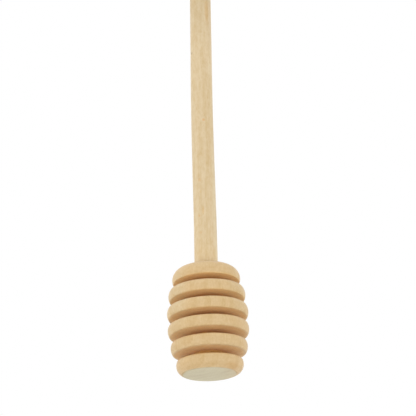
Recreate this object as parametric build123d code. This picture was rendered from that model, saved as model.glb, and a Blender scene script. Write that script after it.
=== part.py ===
"""Turned wooden honey dipper: a six-ring head on a straight round dowel handle.

Sizes are in millimetres and angles in degrees. The dipper's axis is +Z, with the head at the bottom.
The origin is the centre of the flat end of the head, the face that the dipper stands on.

The head is turned to a barrel, grooved so that six rings are left round a core, and drilled from its
shoulder. Each ring is bevelled towards its two rims, which gives it its rounded face, and the face leans
part of the way with the barrel. The handle is a length of dowel. Its lower end is turned down to a tenon,
which is glued into the head's socket, so that the handle's own shoulder seats on the flat top of the head.
"""

import os
from math import atan2, cos, degrees, radians, sin, sqrt, tan

from build123d import *

# Handle
handle_diameter = 7.1
overall_length = 160.0
handle_end_round = 1.6

# Socket drilled in the head, and the tenon glued into it
socket_diameter = 5.0
drill_point_angle = 118.0
glue_gap = 0.05
glue_pocket = 1.0
tenon_length = 18.0
tenon_chamfer = 0.6

# Barrel, the outer form, on which the middle of every ring's face lies
barrel_radius = 12.15
barrel_half_length = 24.0
barrel_rise = 0.6

# Rings, and the grooves between them
ring_count = 6
ring_pitch = 5.41
groove_width = 2.0
bevel_width = 0.76
bevel_depth = 0.5
taper_share = 0.4
core_wall = 2.1

# Flat end and shoulder
end_face_radius = 7.75
first_ring_height = 2.25
shoulder_round = 3.68
shoulder_slope = 14.0

# Rings, from the sizes above
half_ring = (ring_pitch - groove_width) / 2
face_end = half_ring - bevel_width
last_ring = ring_count - 1
last_ring_height = first_ring_height + last_ring * ring_pitch
barrel_middle = (first_ring_height + last_ring_height) / 2 + barrel_rise

# Handle, socket and tenon, from the sizes above
handle_radius = handle_diameter / 2
socket_radius = socket_diameter / 2
socket_depth = tenon_length + glue_pocket
drill_point_length = socket_radius / tan(radians(drill_point_angle / 2))
core_radius = socket_radius + core_wall
tenon_radius = socket_radius - glue_gap

# How a round solid meets its place: standing on it, or hanging below it
STANDING = (Align.CENTER, Align.CENTER, Align.MIN)
HANGING = (Align.CENTER, Align.CENTER, Align.MAX)


def ring_height(ring):
    """Height of the middle of a ring above the flat end. Ring 0 is the lowest."""
    return first_ring_height + ring * ring_pitch


def ring_radius(ring, above=0):
    """Radius of a ring's face, at a distance above the middle of the ring.

    It is taken from the barrel's ellipse, but only a share of the distance counts, so the face leans less
    than the barrel does.
    """
    along = (ring_height(ring) + taper_share * above - barrel_middle) / barrel_half_length
    return barrel_radius * sqrt(1 - along**2)


# Shoulder, from the sizes above. Its round carries on the lean of the top ring's face.
top_lean = degrees(atan2(ring_radius(last_ring, -face_end) - ring_radius(last_ring), face_end))
shoulder_centre = ring_radius(last_ring) - shoulder_round * cos(radians(top_lean))
shoulder_centre_height = last_ring_height - shoulder_round * sin(radians(top_lean))
slope_foot = shoulder_centre + shoulder_round * sin(radians(shoulder_slope))
slope_foot_height = shoulder_centre_height + shoulder_round * cos(radians(shoulder_slope))
head_length = slope_foot_height + (slope_foot - handle_radius) * tan(radians(shoulder_slope))


def groove_above(ring):
    """Corners of the square groove above a ring, with the bevels of the two rims at its mouth."""
    bottom = ring_height(ring) + half_ring
    top = bottom + groove_width
    return [
        (ring_radius(ring, face_end), bottom - bevel_width),
        (ring_radius(ring, half_ring) - bevel_depth, bottom),
        (core_radius, bottom),
        (core_radius, top),
        (ring_radius(ring + 1, -half_ring) - bevel_depth, top),
        (ring_radius(ring + 1, -face_end), top + bevel_width),
    ]


def rounded_end():
    """Flat end, and the round that carries the face of the lowest ring down to it."""
    Line((0, 0), (end_face_radius, 0))
    face_fall = (ring_radius(0) - ring_radius(0, face_end), -face_end)
    TangentArc((ring_radius(0), first_ring_height), (end_face_radius, 0), tangent=face_fall)


def rings():
    """All ring faces and grooves, from the middle of the lowest ring to that of the top one."""
    grooves = [corner for ring in range(last_ring) for corner in groove_above(ring)]
    top_middle = (ring_radius(last_ring), last_ring_height)
    Polyline((ring_radius(0), first_ring_height), *grooves, top_middle)


def shoulder():
    """Round and slope from the middle of the top ring to the flat that the handle seats on."""
    centre = (shoulder_centre, shoulder_centre_height)
    CenterArc(centre, shoulder_round, top_lean, 90 - shoulder_slope - top_lean)
    Polyline((slope_foot, slope_foot_height), (handle_radius, head_length), (0, head_length))


def make_dipper_head():
    """Head turned from its half section, with the socket for the handle drilled from the shoulder."""
    with BuildPart() as head:
        with BuildSketch(Plane.XZ):
            with BuildLine():
                rounded_end()
                rings()
                shoulder()
                Line((0, head_length), (0, 0))
            make_face()
        revolve(axis=Axis.Z)
        with Locations((0, 0, head_length)):
            Cylinder(socket_radius, socket_depth, align=HANGING, mode=Mode.SUBTRACT)
        with Locations((0, 0, head_length - socket_depth)):
            Cone(0, socket_radius, drill_point_length, align=HANGING, mode=Mode.SUBTRACT)
    return head.part


def make_handle():
    """Round dowel that stands on the head, with a chamfered tenon below and a rounded free end."""
    with BuildPart() as handle:
        with Locations((0, 0, head_length)):
            Cylinder(handle_radius, overall_length - head_length, align=STANDING)
            Cylinder(tenon_radius, tenon_length, align=HANGING)
        ends = handle.edges().filter_by(GeomType.CIRCLE).sort_by(Axis.Z)
        chamfer(ends[0], tenon_chamfer)
        fillet(ends[-1], handle_end_round)
    return handle.part


os.makedirs("parts", exist_ok=True)
export_step(make_dipper_head(), "parts/dipper_head.step")
export_step(make_handle(), "parts/handle.step")
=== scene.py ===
"""Honey dipper: a turned wooden head of six rings on a straight dowel handle, standing on its flat end.

Lengths are in metres and angles in radians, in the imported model's frame: +Z runs up the dipper's axis from
the middle of the head's flat end. Places, sizes and depths in the wood materials are in millimetres.
"""

from math import pi, radians

import bpy
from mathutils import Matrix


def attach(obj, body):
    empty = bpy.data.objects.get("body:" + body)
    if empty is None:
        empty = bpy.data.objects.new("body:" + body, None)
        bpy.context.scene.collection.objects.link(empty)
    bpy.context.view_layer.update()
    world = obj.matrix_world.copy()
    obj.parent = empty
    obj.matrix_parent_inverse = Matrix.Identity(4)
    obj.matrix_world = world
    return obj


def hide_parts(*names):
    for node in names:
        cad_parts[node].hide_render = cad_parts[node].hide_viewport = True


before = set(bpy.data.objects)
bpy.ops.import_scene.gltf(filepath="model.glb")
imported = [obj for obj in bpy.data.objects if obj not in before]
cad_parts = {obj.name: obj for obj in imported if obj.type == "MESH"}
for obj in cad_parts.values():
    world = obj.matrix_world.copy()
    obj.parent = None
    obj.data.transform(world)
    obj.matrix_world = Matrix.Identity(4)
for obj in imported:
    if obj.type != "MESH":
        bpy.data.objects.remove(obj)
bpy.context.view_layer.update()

# HEAD. One block of pale hardwood, turned to a barrel. Five square grooves leave six rings, whose corners
# are sanded round. The shoulder is drilled for the handle's tenon, and the flat end is raw end grain. As on
# the real one, it leans slightly on its flat end, and its upper grooves were cut a little high.
HEAD_SIZES = {
    "Rings": 6,
    "Ring Pitch": 0.00541,
    "Groove Width": 0.0021,
    "Ring Bead": 0.0032,
    "Rim Round": 0.00035,
    "Taper Share": 0.4,
    "First Ring Height": 0.00225,
    "Barrel Radius": 0.01215,
    "Barrel Half Length": 0.0240,
    "Barrel Middle": 0.016375,
    "Core Radius": 0.0046,
    "End Face Radius": 0.00775,
    "Shoulder Round": 0.00368,
    "Shoulder Slope": radians(14),
    "Upper Rings Rise": 0.00014,
    "Handle Radius": 0.00355,
    "Socket Radius": 0.0025,
    "Socket Depth": 0.0190,
    "Drill Point": 0.0015,
    "Facets Round": 256,
    "Wobble": 0.00006,
    "Wobble Seed": 3.0,
    "Lean": -0.0175,
    "Upright At": 0.0163,
    "Bow": 0.0,
    "Bow Span": 1.0,
}
RING_FACE_POINTS = 9
RIM_POINTS = 5
END_POINTS = 16
SHOULDER_POINTS = 22
SHARP_CORNER = radians(35)
HUB_RADIUS = 0.001
WELD_DISTANCE = 2e-6
WOBBLE_SCALE = 70.0
STEADY_FOOT = 0.004
LATHE_SIZES = {
    "Facets Round": ("NodeSocketInt", 64),
    "Wobble": ("NodeSocketFloat", 0.0),
    "Wobble Seed": ("NodeSocketFloat", 0.0),
    "Lean": ("NodeSocketFloat", 0.0),
    "Upright At": ("NodeSocketFloat", 0.0),
    "Bow": ("NodeSocketFloat", 0.0),
    "Bow Span": ("NodeSocketFloat", 1.0),
}
RAISED_RISE = (0.0160, 0.0260)
RAISED_FALL = (0.0330, 0.0295)


def add_node(tree, kind, inputs=None, **settings):
    """Add a node, make its settings, and set or link each of the inputs that are given."""
    node = tree.nodes.new(kind)
    for name, value in settings.items():
        setattr(node, name, value)
    for name, value in (inputs or {}).items():
        if isinstance(value, bpy.types.NodeSocket):
            tree.links.new(value, node.inputs[name])
        else:
            node.inputs[name].default_value = value
    return node


def new_tree(name, kind, inputs, outputs):
    """A node group, with its inputs given as name: (socket type, value or None)."""
    tree = bpy.data.node_groups.new(name, kind)
    for label, (socket, value) in inputs.items():
        made = tree.interface.new_socket(label, in_out="INPUT", socket_type=socket)
        if value is not None:
            made.default_value = value
    for label, socket in outputs.items():
        tree.interface.new_socket(label, in_out="OUTPUT", socket_type=socket)
    return tree, tree.nodes.new("NodeGroupInput").outputs, tree.nodes.new("NodeGroupOutput").inputs


def maths(tree, operation, *values):
    """Result of a Math node on the given sockets or numbers."""
    return add_node(tree, "ShaderNodeMath", dict(enumerate(values)), operation=operation).outputs[0]


def vectors(tree, operation, *values):
    """Result of a Vector Math node on the given sockets or vectors."""
    return add_node(tree, "ShaderNodeVectorMath", dict(enumerate(values)), operation=operation).outputs[0]


def at(tree, x=0.0, y=0.0, z=0.0):
    """A vector made of three sockets or numbers."""
    return add_node(tree, "ShaderNodeCombineXYZ", {"X": x, "Y": y, "Z": z}).outputs[0]


def split(tree, vector):
    """The X, Y and Z of a vector."""
    return add_node(tree, "ShaderNodeSeparateXYZ", {0: vector}).outputs


def length(tree, vector):
    """Length of a vector."""
    return add_node(tree, "ShaderNodeVectorMath", {0: vector}, operation="LENGTH").outputs["Value"]


def position(tree):
    """Position of each point of a tree's geometry."""
    return tree.nodes.new("GeometryNodeInputPosition").outputs[0]


def between(tree, value, low, high, to_low=0.0, to_high=1.0):
    """A value mapped smoothly from one range to another, and held at its ends."""
    sizes = {"Value": value, "From Min": low, "From Max": high, "To Min": to_low, "To Max": to_high}
    return add_node(tree, "ShaderNodeMapRange", sizes, interpolation_type="SMOOTHSTEP").outputs[0]


def band(tree, value, rise, fall):
    """1 where a value lies in a band, with a soft rise and a soft fall at the band's edges."""
    return maths(tree, "MULTIPLY", between(tree, value, *rise), between(tree, value, *fall))


def joined(tree, *parts):
    """All the parts as one geometry."""
    node = tree.nodes.new("GeometryNodeJoinGeometry")
    for part in parts:
        tree.links.new(part, node.inputs[0])
    return node.outputs[0]


def straight_cut(tree, *corners):
    """Straight stretches of a half section, from each corner to the next."""
    runs = [
        add_node(tree, "GeometryNodeCurvePrimitiveLine", {"Start": start, "End": end}).outputs[0]
        for start, end in zip(corners, corners[1:])
    ]
    return joined(tree, *runs)


def round_cut(tree, points, start, sweep, scale, place):
    """Rounded stretch of a half section: part of a circle from a start angle, scaled and placed."""
    sizes = {"Resolution": points, "Radius": 1.0, "Start Angle": start, "Sweep Angle": sweep}
    arc = add_node(tree, "GeometryNodeCurveArc", sizes, mode="RADIUS").outputs[0]
    moves = {"Geometry": arc, "Translation": place, "Scale": scale}
    return add_node(tree, "GeometryNodeTransform", moves).outputs[0]


def make_lathe():
    """Node group that turns a half section, with X as radius and Y as height, into a closed wooden form.

    The half section is swept round a small hub circle. The form then gets its wobble, which leaves its foot
    flat, and its lean and bow.
    """
    inputs = {"Half Section": ("NodeSocketGeometry", None), **LATHE_SIZES}
    tree, given, result = new_tree("Lathe", "GeometryNodeTree", inputs, {"Turned": "NodeSocketGeometry"})
    moves = {"Geometry": given["Half Section"], "Translation": (-HUB_RADIUS, 0, 0), "Scale": (1, -1, 1)}
    section = add_node(tree, "GeometryNodeTransform", moves).outputs[0]
    round_path = {"Resolution": given["Facets Round"], "Radius": HUB_RADIUS}
    path = add_node(tree, "GeometryNodeCurvePrimitiveCircle", round_path).outputs[0]
    swept = add_node(tree, "GeometryNodeCurveToMesh", {"Curve": path, "Profile Curve": section}).outputs[0]
    welds = {"Geometry": swept, "Distance": WELD_DISTANCE}
    closed = add_node(tree, "GeometryNodeMergeByDistance", welds).outputs[0]

    place = position(tree)
    waves = {"Vector": place, "W": given["Wobble Seed"], "Scale": WOBBLE_SCALE, "Detail": 1.0}
    noise = add_node(tree, "ShaderNodeTexNoise", waves, noise_dimensions="4D").outputs["Color"]
    swing = vectors(tree, "SUBTRACT", noise, (0.5, 0.5, 0.5))
    axes = split(tree, place)
    lift = add_node(tree, "ShaderNodeMapRange", {"Value": axes["Z"], "From Max": STEADY_FOOT}).outputs[0]
    size = maths(tree, "MULTIPLY", given["Wobble"], 2.0)
    uneven = vectors(tree, "MULTIPLY", swing, at(tree, size, size, maths(tree, "MULTIPLY", size, lift)))
    above = maths(tree, "SUBTRACT", axes["Z"], given["Upright At"])
    bows = maths(tree, "DIVIDE", above, given["Bow Span"])
    wave = maths(tree, "COSINE", maths(tree, "MULTIPLY", bows, 2 * pi))
    bowed = maths(tree, "MULTIPLY", wave, given["Bow"])
    sideways = maths(tree, "SUBTRACT", maths(tree, "MULTIPLY", given["Lean"], above), bowed)
    sinking = maths(tree, "MULTIPLY", given["Lean"], maths(tree, "MULTIPLY", axes["X"], -1.0))
    offset = vectors(tree, "ADD", uneven, at(tree, sideways, 0.0, sinking))
    moved = add_node(tree, "GeometryNodeSetPosition", {"Geometry": closed, "Offset": offset}).outputs[0]

    corner = tree.nodes.new("GeometryNodeInputMeshEdgeAngle").outputs["Unsigned Angle"]
    creases = {
        "Geometry": moved,
        "Selection": maths(tree, "GREATER_THAN", corner, SHARP_CORNER),
        "Shade Smooth": False,
    }
    creased = add_node(tree, "GeometryNodeSetShadeSmooth", creases, domain="EDGE").outputs[0]
    tree.links.new(creased, result["Turned"])
    return tree


LATHE = make_lathe()


def turned(tree, half_section, given):
    """The half section turned on the lathe group, with a tree's own inputs for the lathe's sizes."""
    sizes = {name: given[name] for name in LATHE_SIZES}
    sizes["Half Section"] = half_section
    return add_node(tree, "GeometryNodeGroup", sizes, node_tree=LATHE).outputs[0]


def finish_tree(tree, geometry, given, result):
    """The end of every piece's tree: no instances left, and the piece's wood on all of it."""
    real = add_node(tree, "GeometryNodeRealizeInstances", {"Geometry": geometry}).outputs[0]
    wood = add_node(tree, "GeometryNodeSetMaterial", {"Geometry": real, "Material": given["Wood"]})
    tree.links.new(wood.outputs[0], result["Piece"])


def piece_tree(name, sizes):
    """A geometry tree with one named input for each size of a piece, and one for its wood."""
    kinds = {int: "NodeSocketInt", float: "NodeSocketFloat"}
    inputs = {label: (kinds[type(value)], value) for label, value in sizes.items()}
    inputs["Wood"] = ("NodeSocketMaterial", None)
    return new_tree(name, "GeometryNodeTree", inputs, {"Piece": "NodeSocketGeometry"})


def make_piece(name, tree, sizes, wood):
    """Plain mesh object that a piece's tree gives with the given sizes and wood."""
    maker = bpy.data.objects.new(name + "_maker", bpy.data.meshes.new(name + "_maker"))
    bpy.context.collection.objects.link(maker)
    modifier = maker.modifiers.new("Maker", "NODES")
    modifier.node_group = tree
    for item in tree.interface.items_tree:
        if item.in_out == "INPUT":
            modifier[item.identifier] = wood if item.name == "Wood" else sizes[item.name]
    made = maker.evaluated_get(bpy.context.evaluated_depsgraph_get())
    mesh = bpy.data.meshes.new_from_object(made)
    maker.modifiers.remove(modifier)
    bpy.data.objects.remove(maker)
    mesh.name = name
    piece = bpy.data.objects.new(name, mesh)
    bpy.context.collection.objects.link(piece)
    return piece


def on_ellipse(tree, height, middle, half_length):
    """A height as a share of an ellipse's half length, and the share of its full width that it has there."""
    along = maths(tree, "DIVIDE", maths(tree, "SUBTRACT", height, middle), half_length)
    narrowing = maths(tree, "SQRT", maths(tree, "SUBTRACT", 1.0, maths(tree, "MULTIPLY", along, along)))
    return along, narrowing


def barrel_at(tree, given, height):
    """Radius of the barrel's ellipse at a height."""
    _, narrowing = on_ellipse(tree, height, given["Barrel Middle"], given["Barrel Half Length"])
    return maths(tree, "MULTIPLY", narrowing, given["Barrel Radius"])


def face_lean(tree, given, height):
    """Lean of a ring's face from the dipper's axis: a share of the barrel's own slope at a height."""
    along, narrowing = on_ellipse(tree, height, given["Barrel Middle"], given["Barrel Half Length"])
    steepness = maths(tree, "DIVIDE", given["Barrel Radius"], given["Barrel Half Length"])
    slope = maths(tree, "MULTIPLY", maths(tree, "DIVIDE", along, narrowing), steepness)
    return maths(tree, "ARCTANGENT", maths(tree, "MULTIPLY", slope, given["Taper Share"]))


def half_ring_face(tree, given, half_ring, side, base):
    """Half section of half a ring's face, up or down from its widest line: a shallow bead and its rim.

    Returns the two stretches, and how far the rim's flat side starts inside the widest line.
    """
    bead = given["Ring Bead"]
    rim = given["Rim Round"]
    reach = maths(tree, "SUBTRACT", bead, rim)
    rim_height = maths(tree, "SUBTRACT", half_ring, rim)
    turn = maths(tree, "ARCSINE", maths(tree, "DIVIDE", rim_height, reach))
    bead_centre = maths(tree, "MULTIPLY", bead, -1.0)
    rim_place = maths(tree, "MULTIPLY_ADD", reach, maths(tree, "COSINE", turn), bead_centre)
    bead_scale = at(tree, bead, maths(tree, "MULTIPLY", bead, side), 1.0)
    rim_scale = at(tree, rim, maths(tree, "MULTIPLY", rim, side), 1.0)
    face_place = at(tree, bead_centre, base)
    corner_place = at(tree, rim_place, maths(tree, "MULTIPLY_ADD", rim_height, side, base))
    face = round_cut(tree, RING_FACE_POINTS, 0.0, turn, bead_scale, face_place)
    rest = maths(tree, "SUBTRACT", pi / 2, turn)
    corner = round_cut(tree, RIM_POINTS, turn, rest, rim_scale, corner_place)
    return face, corner, rim_place


def grooved_rings(tree, given):
    """Half section of one groove and the two half rings beside it, repeated up the barrel.

    Each copy's radius is first counted from the middle of its own ring's face, and is then carried out to
    the barrel, whose slope each ring follows in part. The groove's floor is drawn far inside, so that it
    stops at the core.
    """
    pitch = given["Ring Pitch"]
    half_ring = maths(tree, "MULTIPLY", maths(tree, "SUBTRACT", pitch, given["Groove Width"]), 0.5)
    deep = maths(tree, "MULTIPLY", given["Barrel Radius"], -1.0)
    top = maths(tree, "SUBTRACT", pitch, half_ring)
    *lower_face, side = half_ring_face(tree, given, half_ring, 1.0, 0.0)
    *upper_face, side = half_ring_face(tree, given, half_ring, -1.0, pitch)
    corners = ((side, half_ring), (deep, half_ring), (deep, top), (side, top))
    walls = straight_cut(tree, *[at(tree, *corner) for corner in corners])
    groove = joined(tree, *lower_face, walls, *upper_face)
    first = given["First Ring Height"]
    places = {
        "Count": maths(tree, "SUBTRACT", given["Rings"], 1),
        "Start Location": at(tree, 0.0, first),
        "Offset": at(tree, 0.0, pitch),
    }
    rings = add_node(tree, "GeometryNodeMeshLine", places).outputs[0]
    repeats = {"Points": rings, "Instance": groove}
    copies = add_node(tree, "GeometryNodeInstanceOnPoints", repeats).outputs[0]
    cuts = add_node(tree, "GeometryNodeRealizeInstances", {"Geometry": copies}).outputs[0]

    place = split(tree, position(tree))
    ring = maths(tree, "ROUND", maths(tree, "DIVIDE", maths(tree, "SUBTRACT", place["Y"], first), pitch))
    ring_height = maths(tree, "MULTIPLY_ADD", ring, pitch, first)
    above = maths(tree, "SUBTRACT", place["Y"], ring_height)
    tapered = maths(tree, "MULTIPLY_ADD", above, given["Taper Share"], ring_height)
    out = maths(tree, "ADD", barrel_at(tree, given, tapered), place["X"])
    radius = maths(tree, "MAXIMUM", out, given["Core Radius"])
    carried = {"Geometry": cuts, "Position": at(tree, radius, place["Y"])}
    return add_node(tree, "GeometryNodeSetPosition", carried).outputs[0]


def flat_end(tree, given):
    """Half section of the flat end, and of the round that carries the lowest ring's face down to it."""
    height = given["First Ring Height"]
    face = given["End Face Radius"]
    ring = barrel_at(tree, given, height)
    lean = face_lean(tree, given, height)
    overhang = maths(tree, "SUBTRACT", ring, face)
    height_square = maths(tree, "MULTIPLY", height, height)
    squares = maths(tree, "ADD", maths(tree, "MULTIPLY", overhang, overhang), height_square)
    inwards = maths(tree, "MULTIPLY", overhang, maths(tree, "COSINE", lean))
    falling = maths(tree, "MULTIPLY", height, maths(tree, "SINE", lean))
    twice = maths(tree, "MULTIPLY", maths(tree, "ADD", inwards, falling), 2.0)
    radius = maths(tree, "DIVIDE", squares, twice)
    centre_in = maths(tree, "MULTIPLY", radius, maths(tree, "COSINE", lean))
    centre_down = maths(tree, "MULTIPLY", radius, maths(tree, "SINE", lean))
    centre_height = maths(tree, "SUBTRACT", height, centre_down)
    centre = at(tree, maths(tree, "SUBTRACT", ring, centre_in), centre_height)
    last = maths(tree, "ARCSINE", maths(tree, "DIVIDE", centre_height, radius))
    scale = at(tree, radius, maths(tree, "MULTIPLY", radius, -1.0), 1.0)
    start = maths(tree, "MULTIPLY", lean, -1.0)
    return joined(
        tree,
        straight_cut(tree, at(tree), at(tree, face)),
        round_cut(tree, END_POINTS, start, maths(tree, "SUBTRACT", last, start), scale, centre),
    )


def shoulder_and_socket(tree, given):
    """Half section of the shoulder's round and slope, the handle's seat, and the drilled socket."""
    gaps = maths(tree, "SUBTRACT", given["Rings"], 1)
    widest = maths(tree, "MULTIPLY_ADD", gaps, given["Ring Pitch"], given["First Ring Height"])
    bend = given["Shoulder Round"]
    slope = given["Shoulder Slope"]
    lean = face_lean(tree, given, widest)
    sweep = maths(tree, "SUBTRACT", maths(tree, "SUBTRACT", pi / 2, slope), lean)
    inwards = maths(tree, "MULTIPLY", bend, maths(tree, "COSINE", lean))
    centre = maths(tree, "SUBTRACT", barrel_at(tree, given, widest), inwards)
    falling = maths(tree, "MULTIPLY", bend, maths(tree, "SINE", lean))
    centre_height = maths(tree, "SUBTRACT", widest, falling)
    foot = maths(tree, "MULTIPLY_ADD", bend, maths(tree, "SINE", slope), centre)
    foot_height = maths(tree, "MULTIPLY_ADD", bend, maths(tree, "COSINE", slope), centre_height)
    run = maths(tree, "SUBTRACT", foot, given["Handle Radius"])
    seat = maths(tree, "MULTIPLY_ADD", run, maths(tree, "TANGENT", slope), foot_height)
    floor = maths(tree, "SUBTRACT", seat, given["Socket Depth"])
    bend_scale = at(tree, bend, bend, 1.0)
    bend_place = at(tree, centre, centre_height)
    return joined(
        tree,
        round_cut(tree, SHOULDER_POINTS, lean, sweep, bend_scale, bend_place),
        straight_cut(
            tree,
            at(tree, foot, foot_height),
            at(tree, given["Handle Radius"], seat),
            at(tree, given["Socket Radius"], seat),
            at(tree, given["Socket Radius"], floor),
            at(tree, 0.0, maths(tree, "SUBTRACT", floor, given["Drill Point"])),
        ),
    )


def make_head_tree():
    """Tree of the head: its half section turned on the lathe.

    The upper rings were cut by eye a little above their even places, and the handle's seat was not.
    """
    tree, given, result = piece_tree("Grooved Head", HEAD_SIZES)
    section = joined(tree, *[cut(tree, given) for cut in (flat_end, grooved_rings, shoulder_and_socket)])
    raised = band(tree, split(tree, position(tree))["Y"], RAISED_RISE, RAISED_FALL)
    rise = maths(tree, "MULTIPLY", raised, given["Upper Rings Rise"])
    moves = {"Geometry": section, "Offset": at(tree, 0.0, rise)}
    uneven = add_node(tree, "GeometryNodeSetPosition", moves).outputs[0]
    finish_tree(tree, turned(tree, uneven, given), given, result)
    return tree


def centred_noise(tree, place, scale, detail=2.0, roughness=0.5):
    """Noise from about -1 to 1 on a place in millimetres, with a scale for each axis."""
    stretched = vectors(tree, "MULTIPLY", place, scale)
    sizes = {"Vector": stretched, "Scale": 1.0, "Detail": detail, "Roughness": roughness}
    noise = add_node(tree, "ShaderNodeTexNoise", sizes).outputs[0]
    return maths(tree, "MULTIPLY_ADD", noise, 4.0, -2.0)


def mixed(tree, share, first, second, blend="MIX"):
    """Two colours mixed by a share."""
    node = add_node(tree, "ShaderNodeMix", data_type="RGBA", blend_type=blend)
    for socket, value in ((node.inputs[0], share), (node.inputs[6], first), (node.inputs[7], second)):
        if isinstance(value, bpy.types.NodeSocket):
            tree.links.new(value, socket)
        else:
            socket.default_value = value
    return node.outputs[2]


def weighted(tree, start, *terms):
    """A start value plus each term's value times its weight."""
    for value, weight in terms:
        start = maths(tree, "MULTIPLY_ADD", value, weight, start)
    return start


# Scale of each part of the grain, across it (X and Y) and along it (Z), and the bends of the growth rings
RING_BEND_SCALE = (0.09, 0.09, 0.02)
RING_BEND_REACH = (9, 9, 0)
RING_STRENGTH_SCALE = (0.16, 0.16, 0.04)
FIBRE_SCALE = (2.6, 2.6, 0.09)
FINE_FIBRE_SCALE = (8.0, 8.0, 0.3)
FLECK_SCALE = (3.4, 3.4, 0.8)
PORE_SCALE = (13.0, 13.0, 1.0)
MOTTLE_SCALE = (1.0, 1.0, 0.45)
DRIFT_SCALE = (0.13, 0.13, 0.03)
LATE_WOOD_RISE = (0.2, 0.85)
LATE_WOOD_FALL = (1.0, 0.85)
MIDDLE_DARKNESS = 0.4


def make_wood_grain():
    """Node group for the grain of a pale, close-grained hardwood, such as beech, that grew along Z.

    Place is in millimetres from the tree's pith. The group puts out the wood's colour, how dark the grain
    is from 0 to 1, and the height of its fine relief.
    """
    inputs = {
        "Place": ("NodeSocketVector", None),
        "Pale Wood": ("NodeSocketColor", (0.8, 0.6, 0.35, 1)),
        "Dark Wood": ("NodeSocketColor", (0.6, 0.4, 0.2, 1)),
        "Growth Ring Width": ("NodeSocketFloat", 2.0),
        "Growth Rings": ("NodeSocketFloat", 0.2),
        "Fibres": ("NodeSocketFloat", 0.1),
        "Flecks": ("NodeSocketFloat", 0.2),
        "Mottling": ("NodeSocketFloat", 0.1),
        "Mottle Size": ("NodeSocketFloat", 0.5),
        "Tone Drift": ("NodeSocketFloat", 0.1),
    }
    outputs = {"Colour": "NodeSocketColor", "Darkness": "NodeSocketFloat", "Relief": "NodeSocketFloat"}
    tree, given, result = new_tree("Wood Grain", "ShaderNodeTree", inputs, outputs)
    place = given["Place"]
    bends = {"Vector": vectors(tree, "MULTIPLY", place, RING_BEND_SCALE), "Scale": 1.0, "Detail": 2.0}
    bend = add_node(tree, "ShaderNodeTexNoise", bends).outputs["Color"]
    swing = vectors(tree, "SUBTRACT", bend, (0.5, 0.5, 0.5))
    bent = vectors(tree, "MULTIPLY_ADD", swing, RING_BEND_REACH, place)
    from_pith = length(tree, vectors(tree, "MULTIPLY", bent, (1, 1, 0)))
    year = maths(tree, "FRACT", maths(tree, "DIVIDE", from_pith, given["Growth Ring Width"]))
    late_wood = band(tree, year, LATE_WOOD_RISE, LATE_WOOD_FALL)
    strength = between(tree, centred_noise(tree, place, RING_STRENGTH_SCALE, 1.0), -0.9, 0.9, 0.2, 1.8)
    fibres = centred_noise(tree, place, FIBRE_SCALE, 3.0, 0.6)
    fine_fibres = centred_noise(tree, place, FINE_FIBRE_SCALE, 2.0, 0.6)
    flecks = between(tree, centred_noise(tree, place, FLECK_SCALE, 1.0), 0.6, 1.1)
    pores = between(tree, centred_noise(tree, place, PORE_SCALE, 1.0), 0.6, 1.0)
    mottled = vectors(tree, "DIVIDE", place, at(tree, *[given["Mottle Size"]] * 3))
    mottling = centred_noise(tree, mottled, MOTTLE_SCALE, 3.0, 0.65)
    drift = centred_noise(tree, place, DRIFT_SCALE, 2.0)
    darkness = weighted(
        tree,
        MIDDLE_DARKNESS,
        (maths(tree, "MULTIPLY", late_wood, strength), given["Growth Rings"]),
        (fibres, given["Fibres"]),
        (fine_fibres, maths(tree, "MULTIPLY", given["Fibres"], 0.5)),
        (pores, given["Fibres"]),
        (flecks, given["Flecks"]),
        (mottling, given["Mottling"]),
        (drift, given["Tone Drift"]),
    )
    held = add_node(tree, "ShaderNodeClamp", {"Value": darkness}).outputs[0]
    tree.links.new(mixed(tree, held, given["Pale Wood"], given["Dark Wood"]), result["Colour"])
    tree.links.new(held, result["Darkness"])
    tree.links.new(weighted(tree, 0.5, (fine_fibres, 0.2), (fibres, 0.1), (pores, -0.4)), result["Relief"])
    return tree


WOOD_GRAIN = make_wood_grain()


MILLIMETRES = 1000
RELIEF_STRENGTH = 0.6
RELIEF_DEPTH = 0.00004
MARK_EDGE = (1.0, 0.3)


def make_soft_mark():
    """Node group for a soft-edged mark on the wood: 1 at its centre, and 0 beyond its half sizes."""
    inputs = {
        "Place": ("NodeSocketVector", None),
        "Centre": ("NodeSocketVector", (0.0, 0.0, 0.0)),
        "Half Sizes": ("NodeSocketVector", (1.0, 1.0, 1.0)),
    }
    tree, given, result = new_tree("Soft Mark", "ShaderNodeTree", inputs, {"Share": "NodeSocketFloat"})
    from_centre = vectors(tree, "SUBTRACT", given["Place"], given["Centre"])
    away = length(tree, vectors(tree, "DIVIDE", from_centre, given["Half Sizes"]))
    tree.links.new(between(tree, away, *MARK_EDGE), result["Share"])
    return tree


SOFT_MARK = make_soft_mark()


def mark(tree, place, centre, sizes):
    """Share of a soft mark at each place, with its centre and half sizes in millimetres."""
    inputs = {"Place": place, "Centre": centre, "Half Sizes": sizes}
    return add_node(tree, "ShaderNodeGroup", inputs, node_tree=SOFT_MARK).outputs[0]


def marked(tree, place, colour, marks):
    """A colour with soft marks on it, each given by its centre, its half sizes and its tint."""
    for centre, sizes, tint in marks:
        colour = mixed(tree, mark(tree, place, centre, sizes), colour, tint, "MULTIPLY")
    return colour


def new_wood(name):
    """A material with its tree, its shader, and places on the piece in millimetres."""
    material = bpy.data.materials.new(name)
    material.use_nodes = True
    tree = material.node_tree
    shader = tree.nodes["Principled BSDF"]
    shader.inputs["Specular IOR Level"].default_value = 0.6
    shader.inputs["Sheen Weight"].default_value = 0.2
    shader.inputs["Sheen Roughness"].default_value = 0.35
    shader.inputs["Sheen Tint"].default_value = (1.0, 1.0, 1.0, 1)
    place = add_node(tree, "ShaderNodeTexCoord").outputs["Object"]
    return material, tree, shader, vectors(tree, "MULTIPLY", place, (MILLIMETRES,) * 3)


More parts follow.
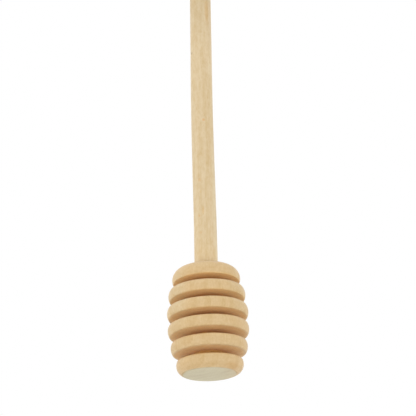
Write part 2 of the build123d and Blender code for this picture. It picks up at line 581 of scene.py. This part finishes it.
def add_relief(tree, shader, height):
    """Fine relief on the wood, from a height between about 0 and 1."""
    sizes = {"Strength": RELIEF_STRENGTH, "Distance": RELIEF_DEPTH, "Height": height}
    tree.links.new(add_node(tree, "ShaderNodeBump", sizes).outputs[0], shader.inputs["Normal"])


def grain(tree, place, pith, turn, looks):
    """Outputs of the grain group on a piece whose tree had its pith at a place, turned about Z."""
    moves = {"Vector": place, "Location": (*pith, 0.0), "Rotation": (0, 0, turn)}
    inputs = {"Place": add_node(tree, "ShaderNodeMapping", moves).outputs[0], **looks}
    return add_node(tree, "ShaderNodeGroup", inputs, node_tree=WOOD_GRAIN).outputs


HEAD_PITH = (38.0, 42.0)
HEAD_PALE = (0.763, 0.573, 0.321, 1)
HEAD_DARK = (0.575, 0.355, 0.129, 1)
HEAD_ROUGHNESS = 0.52
TOOL_LINES_OUT = 2.5
TOOL_LINES_UP = 3.0
TOOL_LINE_SHARE = 0.06
TOOL_LINE_CONTRAST = 0.09
SCRAPE_SCALE = (0.4, 0.4, 0.8)
SCRAPED_PALE = (1.045, 1.07, 1.12, 1)
SCRAPED_DARK = (0.955, 0.93, 0.88, 1)
GROOVES_RISE = (3.0, 3.8)
GROOVES_FALL = (29.0, 28.0)
# Grooves: rawer, rougher wood, with painted warm bounce light on their walls and painted shade, darker
# further in.
RAW_AND_SHADED_GROOVE_DEPTH = (0.05, 1.4)
GROOVE_RAW_AND_BOUNCE_TINT = (1.06, 0.955, 0.70, 1)
DEEP_GROOVE_SHADE_DEPTH = (3.0, 6.0)
DEEP_GROOVE_PAINTED_SHADE = (1.00, 0.93, 0.80, 1)
# Painted sheen: paler, greyer wood on both sides of the rings, where the grazing reflection falls.
PAINTED_SHEEN_SIDES = (((9.5, 6.5, 23.0), (5.5, 9.0, 11.0), (1.0, 1.05, 1.13, 1)),)
HEAD_MARKS_SHEEN_AND_SHADE = (
    # Painted sheen: paler, greyer wood on the left of the rings.
    ((-9.5, -6.5, 16.0), (6.0, 7.0, 18.0), (1.0, 1.025, 1.06, 1)),
    # Painted shade: the left edge of the lower rings darker.
    ((-13.0, -3.0, 6.0), (3.5, 7.0, 12.0), (0.90, 0.92, 0.91, 1)),
    ((6.6, -5.8, 0.8), (3.0, 4.0, 1.6), (0.94, 0.86, 0.74, 1)),
)
END_GRAIN_TOP = (0.3, 0.03)
END_GRAIN_RIM = (8.3, 7.9)
END_GRAIN_PALE = (0.655, 0.600, 0.395, 1)
END_GRAIN_DARK = (0.450, 0.365, 0.226, 1)
END_LINE_TINT = (0.90, 0.74, 0.52, 1)
END_LINE_RADIUS = 7.92
END_LINE_WIDTH = (0.34, 0.08)
END_LINE_TOP = (0.45, 0.2)
END_LINE_LEAST = 0.25
END_LINE_MARKS = (((-8.0, -0.5, 0.0), (4.5, 6.0, 2.0)), ((7.6, -2.0, 0.0), (2.4, 3.4, 2.0)))
HEAD_GRAIN = {
    "Pale Wood": HEAD_PALE,
    "Dark Wood": HEAD_DARK,
    "Growth Ring Width": 3.1,
    "Growth Rings": 0.12,
    "Fibres": 0.08,
    "Flecks": 0.24,
    "Mottling": 0.18,
    "Mottle Size": 0.5,
    "Tone Drift": 0.10,
}


def groove_depth(tree, radius, height):
    """How deep a place on the head lies inside its barrel, in millimetres, and 0 outside the grooves."""
    names = ("Barrel Middle", "Barrel Half Length", "Barrel Radius")
    middle, half_length, widest = (HEAD_SIZES[name] * MILLIMETRES for name in names)
    _, narrowing = on_ellipse(tree, height, middle, half_length)
    depth = maths(tree, "SUBTRACT", maths(tree, "MULTIPLY", narrowing, widest), radius)
    return maths(tree, "MULTIPLY", depth, band(tree, height, GROOVES_RISE, GROOVES_FALL))


def make_head_wood():
    """Head's wood: grain, tool lines, scrapes, rawer grooves with painted shade, soft marks, grey end grain
    below.
    """
    material, tree, shader, place = new_wood("turned_head_wood")
    wood = grain(tree, place, HEAD_PITH, 0.0, HEAD_GRAIN)
    axes = split(tree, place)
    squares = weighted(tree, maths(tree, "MULTIPLY", axes["X"], axes["X"]), (axes["Y"], axes["Y"]))
    radius = maths(tree, "SQRT", squares)

    lines_out = maths(tree, "MULTIPLY", radius, TOOL_LINES_OUT)
    lines_up = maths(tree, "MULTIPLY", axes["Z"], TOOL_LINES_UP)
    tool_lines = centred_noise(tree, at(tree, lines_out, lines_up, 4.0), (1.0, 1.0, 1.0), 3.0, 0.7)
    scrapes = between(tree, centred_noise(tree, place, SCRAPE_SCALE, 4.0, 0.8), -1.0, 1.0)
    scrape_tint = mixed(tree, scrapes, SCRAPED_PALE, SCRAPED_DARK)
    scraped = mixed(tree, 1.0, wood["Colour"], scrape_tint, "MULTIPLY")
    line_share = weighted(tree, TOOL_LINE_SHARE, (tool_lines, TOOL_LINE_CONTRAST))
    lined = mixed(tree, line_share, scraped, HEAD_DARK)

    depth = groove_depth(tree, radius, axes["Z"])
    raw_and_shaded_groove = between(tree, depth, *RAW_AND_SHADED_GROOVE_DEPTH)
    # Painted bounce light and painted shade in the grooves, over their rawer wood.
    grooved = mixed(tree, raw_and_shaded_groove, lined, GROOVE_RAW_AND_BOUNCE_TINT, "MULTIPLY")
    deep = mixed(tree, between(tree, depth, *DEEP_GROOVE_SHADE_DEPTH), grooved, DEEP_GROOVE_PAINTED_SHADE, "MULTIPLY")
    # Painted sheen on the sides, then soft marks: painted sheen and painted shade on the left, and a toasted
    # patch.
    sheened_sides = marked(tree, vectors(tree, "ABSOLUTE", place), deep, PAINTED_SHEEN_SIDES)
    marked_sheened_and_shaded = marked(tree, place, sheened_sides, HEAD_MARKS_SHEEN_AND_SHADE)

    at_rim = between(tree, radius, *END_GRAIN_RIM)
    end_grain = maths(tree, "MULTIPLY", between(tree, axes["Z"], *END_GRAIN_TOP), at_rim)
    faced = mixed(tree, end_grain, marked_sheened_and_shaded, mixed(tree, wood["Darkness"], END_GRAIN_PALE, END_GRAIN_DARK))
    border = maths(tree, "ABSOLUTE", maths(tree, "SUBTRACT", radius, END_LINE_RADIUS))
    by_border = between(tree, border, *END_LINE_WIDTH)
    line = maths(tree, "MULTIPLY", by_border, between(tree, axes["Z"], *END_LINE_TOP))
    ends = maths(tree, "MAXIMUM", *[mark(tree, place, *end) for end in END_LINE_MARKS])
    end_line = maths(tree, "MULTIPLY", line, maths(tree, "MAXIMUM", ends, END_LINE_LEAST))
    tree.links.new(mixed(tree, end_line, faced, END_LINE_TINT, "MULTIPLY"), shader.inputs["Base Color"])

    roughness = ((wood["Darkness"], 0.12), (tool_lines, 0.04), (end_grain, 0.2), (raw_and_shaded_groove, 0.15))
    tree.links.new(weighted(tree, HEAD_ROUGHNESS, *roughness), shader.inputs["Roughness"])
    add_relief(tree, shader, weighted(tree, wood["Relief"], (tool_lines, 0.25)))
    return material


head = make_piece("turned_head", make_head_tree(), HEAD_SIZES, make_head_wood())
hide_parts("dipper_head")
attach(head, "root")

# HANDLE. Round hardwood dowel, sanded smooth, and as on the real one not quite straight. Its lower end is
# turned down to a tenon, glued into the head's socket, and its own shoulder seats on the head. The free end
# is rounded over.
HANDLE_SIZES = {
    "Handle Radius": 0.00355,
    "Seat Height": 0.033387,
    "Overall Length": 0.160,
    "End Round": 0.0016,
    "Tenon Radius": 0.00245,
    "Tenon Length": 0.018,
    "Tenon Chamfer": 0.0006,
    "Rows Along": 90,
    "Facets Round": 128,
    "Wobble": 0.00005,
    "Wobble Seed": 11.0,
    "Lean": 0.0043,
    "Upright At": 0.0860,
    "Bow": 0.00013,
    "Bow Span": 0.092,
}
HANDLE_END_POINTS = 14


def make_handle_tree():
    """Tree of the handle: tenon, shoulder, long shaft and rounded end, turned on the lathe."""
    tree, given, result = piece_tree("Dowel Handle", HANDLE_SIZES)
    seat = given["Seat Height"]
    tip = maths(tree, "SUBTRACT", seat, given["Tenon Length"])
    chamfer = given["Tenon Chamfer"]
    tenon = given["Tenon Radius"]
    radius = given["Handle Radius"]
    bend = given["End Round"]
    top = given["Overall Length"]
    bend_height = maths(tree, "SUBTRACT", top, bend)
    bend_centre = maths(tree, "SUBTRACT", radius, bend)
    lower_end = straight_cut(
        tree,
        at(tree, 0.0, tip),
        at(tree, maths(tree, "SUBTRACT", tenon, chamfer), tip),
        at(tree, tenon, maths(tree, "ADD", tip, chamfer)),
        at(tree, tenon, seat),
        at(tree, radius, seat),
    )
    shaft = straight_cut(tree, at(tree, radius, seat), at(tree, radius, bend_height))
    steps = {"Curve": shaft, "Count": given["Rows Along"]}
    rows = add_node(tree, "GeometryNodeResampleCurve", steps).outputs[0]
    bend_scale = at(tree, bend, bend, 1.0)
    bend_place = at(tree, bend_centre, bend_height)
    free_end = joined(
        tree,
        round_cut(tree, HANDLE_END_POINTS, 0.0, pi / 2, bend_scale, bend_place),
        straight_cut(tree, at(tree, bend_centre, top), at(tree, 0.0, top)),
    )
    finish_tree(tree, turned(tree, joined(tree, lower_end, rows, free_end), given), given, result)
    return tree


HANDLE_PITH = (-14.0, 20.0)
HANDLE_GRAIN_TURN = radians(-20)
HANDLE_PALE = (0.762, 0.615, 0.394, 1)
HANDLE_DARK = (0.633, 0.451, 0.217, 1)
HANDLE_ROUGHNESS = 0.48
HANDLE_GRAIN = {
    "Pale Wood": HANDLE_PALE,
    "Dark Wood": HANDLE_DARK,
    "Growth Ring Width": 2.1,
    "Growth Rings": 0.16,
    "Fibres": 0.19,
    "Flecks": 0.30,
    "Mottling": 0.36,
    "Mottle Size": 1.1,
    "Tone Drift": 0.12,
}
SANDING_SCALE = (1.2, 1.2, 9.0)
HANDLE_END_GRAIN = (158.6, 159.9)
HANDLE_END_PALE = (0.680, 0.560, 0.360, 1)
HANDLE_END_DARK = (0.480, 0.360, 0.190, 1)
HANDLE_MARKS_AND_PAINTED_LIGHT = (
    # Painted light: the dowel paler round its foot, where the head's shoulder shades it.
    ((0.0, 0.0, 33.4), (6.0, 6.0, 3.5), (1.03, 1.03, 1.03, 1)),
    ((0.0, 0.0, 34.2), (6.0, 6.0, 1.4), (1.06, 1.06, 1.05, 1)),
    ((-3.07, -1.79, 108.6), (0.5, 0.5, 0.65), (0.58, 0.52, 0.42, 1)),
    ((0.32, -3.54, 82.4), (0.65, 0.65, 0.7), (0.99, 0.80, 0.62, 1)),
    ((-1.4, -3.25, 61.1), (0.55, 0.6, 0.9), (1.0, 0.89, 0.78, 1)),
    ((-1.2, -3.35, 57.2), (0.45, 0.6, 0.9), (0.97, 0.92, 0.80, 1)),
    ((-0.55, -3.5, 50.6), (0.5, 0.6, 1.8), (1.0, 0.92, 0.80, 1)),
    ((-1.75, -3.1, 49.0), (0.5, 0.6, 0.6), (1.0, 0.88, 0.76, 1)),
    ((-1.4, -3.25, 43.3), (0.45, 0.6, 0.6), (1.0, 0.92, 0.84, 1)),
    ((2.3, -2.7, 124.5), (0.9, 1.2, 7.0), (0.97, 0.88, 0.74, 1)),
    ((2.9, -2.0, 122.0), (1.4, 1.8, 20.0), (0.95, 0.93, 0.90, 1)),
    ((-3.5, -0.9, 90.0), (1.9, 2.8, 100.0), (0.96, 0.96, 0.94, 1)),
    # Painted sheen: a paler, greyer strip down the dowel's right side.
    ((3.5, -0.9, 60.0), (2.3, 3.0, 70.0), (1.01, 1.05, 1.09, 1)),
    # Painted shade: the dowel's upper part darker on its front.
    ((-0.8, -3.5, 136.0), (9.0, 9.0, 30.0), (0.91, 0.90, 0.87, 1)),
)


def make_handle_wood():
    """Handle's wood: paler grain along the dowel, specks, streaks, painted light and shade, darker end grain
    at the top.
    """
    material, tree, shader, place = new_wood("dowel_handle_wood")
    wood = grain(tree, place, HANDLE_PITH, HANDLE_GRAIN_TURN, HANDLE_GRAIN)
    # Specks and streaks, with painted light, painted sheen and painted shade.
    colour = marked(tree, place, wood["Colour"], HANDLE_MARKS_AND_PAINTED_LIGHT)
    end_grain = between(tree, split(tree, place)["Z"], *HANDLE_END_GRAIN)
    end_colour = mixed(tree, wood["Darkness"], HANDLE_END_PALE, HANDLE_END_DARK)
    tree.links.new(mixed(tree, end_grain, colour, end_colour), shader.inputs["Base Color"])
    rough = weighted(tree, HANDLE_ROUGHNESS, (wood["Darkness"], 0.15), (end_grain, 0.2))
    tree.links.new(rough, shader.inputs["Roughness"])
    sanding = centred_noise(tree, place, SANDING_SCALE, 2.0, 0.6)
    add_relief(tree, shader, weighted(tree, wood["Relief"], (sanding, 0.12)))
    return material


handle = make_piece("dowel_handle", make_handle_tree(), HANDLE_SIZES, make_handle_wood())
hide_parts("handle")
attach(handle, "root")

# FLOOR. A pale sheet under the dipper. It is seen only from above, so that it doesn't hide the flat end
# from the photograph's viewpoint, which is below it, and it fades into the white room at its edge. It throws
# no light and no shadow on the dipper.
FLOOR_RADIUS = 0.9
FLOOR_DROP = 0.00015
FLOOR_FADE = (FLOOR_RADIUS * 0.25, FLOOR_RADIUS * 0.95)
FLOOR_CORNERS = ((-1, -1), (1, -1), (1, 1), (-1, 1))


def make_floor():
    """Floor sheet whose material is clear from below, and fades out round about before its corners."""
    floor_mesh = bpy.data.meshes.new("pale_floor")
    corners = [(x * FLOOR_RADIUS, y * FLOOR_RADIUS, -FLOOR_DROP) for x, y in FLOOR_CORNERS]
    floor_mesh.from_pydata(corners, [], [(0, 1, 2, 3)])
    floor = bpy.data.objects.new("pale_floor", floor_mesh)
    bpy.context.collection.objects.link(floor)
    material = bpy.data.materials.new("pale_floor_paint")
    material.use_nodes = True
    tree = material.node_tree
    shader = tree.nodes["Principled BSDF"]
    shader.inputs["Base Color"].default_value = (0.86, 0.86, 0.85, 1)
    shader.inputs["Roughness"].default_value = 0.8
    place = add_node(tree, "ShaderNodeTexCoord").outputs["Object"]
    fade = between(tree, length(tree, place), *FLOOR_FADE)
    below = add_node(tree, "ShaderNodeNewGeometry").outputs["Backfacing"]
    clear = tree.nodes.new("ShaderNodeBsdfTransparent").outputs[0]
    sheet = tree.nodes.new("ShaderNodeMixShader")
    tree.links.new(maths(tree, "MAXIMUM", fade, below), sheet.inputs[0])
    tree.links.new(shader.outputs[0], sheet.inputs[1])
    tree.links.new(clear, sheet.inputs[2])
    tree.links.new(sheet.outputs[0], tree.nodes["Material Output"].inputs["Surface"])
    floor_mesh.materials.append(material)
    floor.visible_diffuse = False
    floor.visible_glossy = False
    floor.visible_shadow = False
    return floor


make_floor()

# STUDIO. A white room. A bright low wall all round lights the undersides of the rings and reaches into the
# grooves, a softer ceiling lights the shoulder, and a weak window stands on the left. The camera looks up
# the dipper from in front of and below its flat end, with a long lens.
ROOM_LIGHT = 0.22
LOW_WALL_LIGHT = 3.0
LOW_WALL_RISE = (-0.70, -0.40)
LOW_WALL_FALL = (-0.10, -0.40)
CEILING_LIGHT = 0.80
CEILING_RISE = (0.1, 0.4)
BACKDROP_LIGHT = 1.0
BACKDROP_RISE = (-0.1, 0.35)
WINDOW_WAY = (-0.75, 0.20, 0.62)
WINDOW_LIGHT = 0.2
WINDOW_RISE = (0.5, 0.9)
CAMERA_PLACE = (0.00095, -0.28142, -0.07229)
CAMERA_TURN = (radians(113.988), radians(1.504), radians(0.669))
CAMERA_LENS = 85.46

scene = bpy.context.scene
world = bpy.data.worlds.new("white_room")
world.use_nodes = True
room = world.node_tree
seen_way = add_node(room, "ShaderNodeTexCoord").outputs["Generated"]
way = split(room, seen_way)
low_wall = band(room, way["Z"], LOW_WALL_RISE, LOW_WALL_FALL)
ceiling = between(room, way["Z"], *CEILING_RISE)
front_light = weighted(room, ROOM_LIGHT, (low_wall, LOW_WALL_LIGHT), (ceiling, CEILING_LIGHT))
behind = between(room, way["Y"], *BACKDROP_RISE)
backed = add_node(room, "ShaderNodeMix", {0: behind, 2: front_light, 3: BACKDROP_LIGHT}).outputs[0]
ways = {0: seen_way, 1: WINDOW_WAY}
facing = add_node(room, "ShaderNodeVectorMath", ways, operation="DOT_PRODUCT").outputs["Value"]
light = weighted(room, backed, (between(room, facing, *WINDOW_RISE), WINDOW_LIGHT))
seen = add_node(room, "ShaderNodeLightPath").outputs["Is Camera Ray"]
strength = add_node(room, "ShaderNodeMix", {0: seen, 2: light, 3: 1.0}).outputs[0]
room.nodes["Background"].inputs["Color"].default_value = (1, 1, 1, 1)
room.links.new(strength, room.nodes["Background"].inputs["Strength"])
scene.world = world
scene.view_settings.view_transform = "Standard"

lens = bpy.data.cameras.new("photo_camera")
lens.lens = CAMERA_LENS
lens.clip_start = 0.01
camera = bpy.data.objects.new("photo_camera", lens)
camera.location = CAMERA_PLACE
camera.rotation_euler = CAMERA_TURN
scene.collection.objects.link(camera)
scene.camera = camera
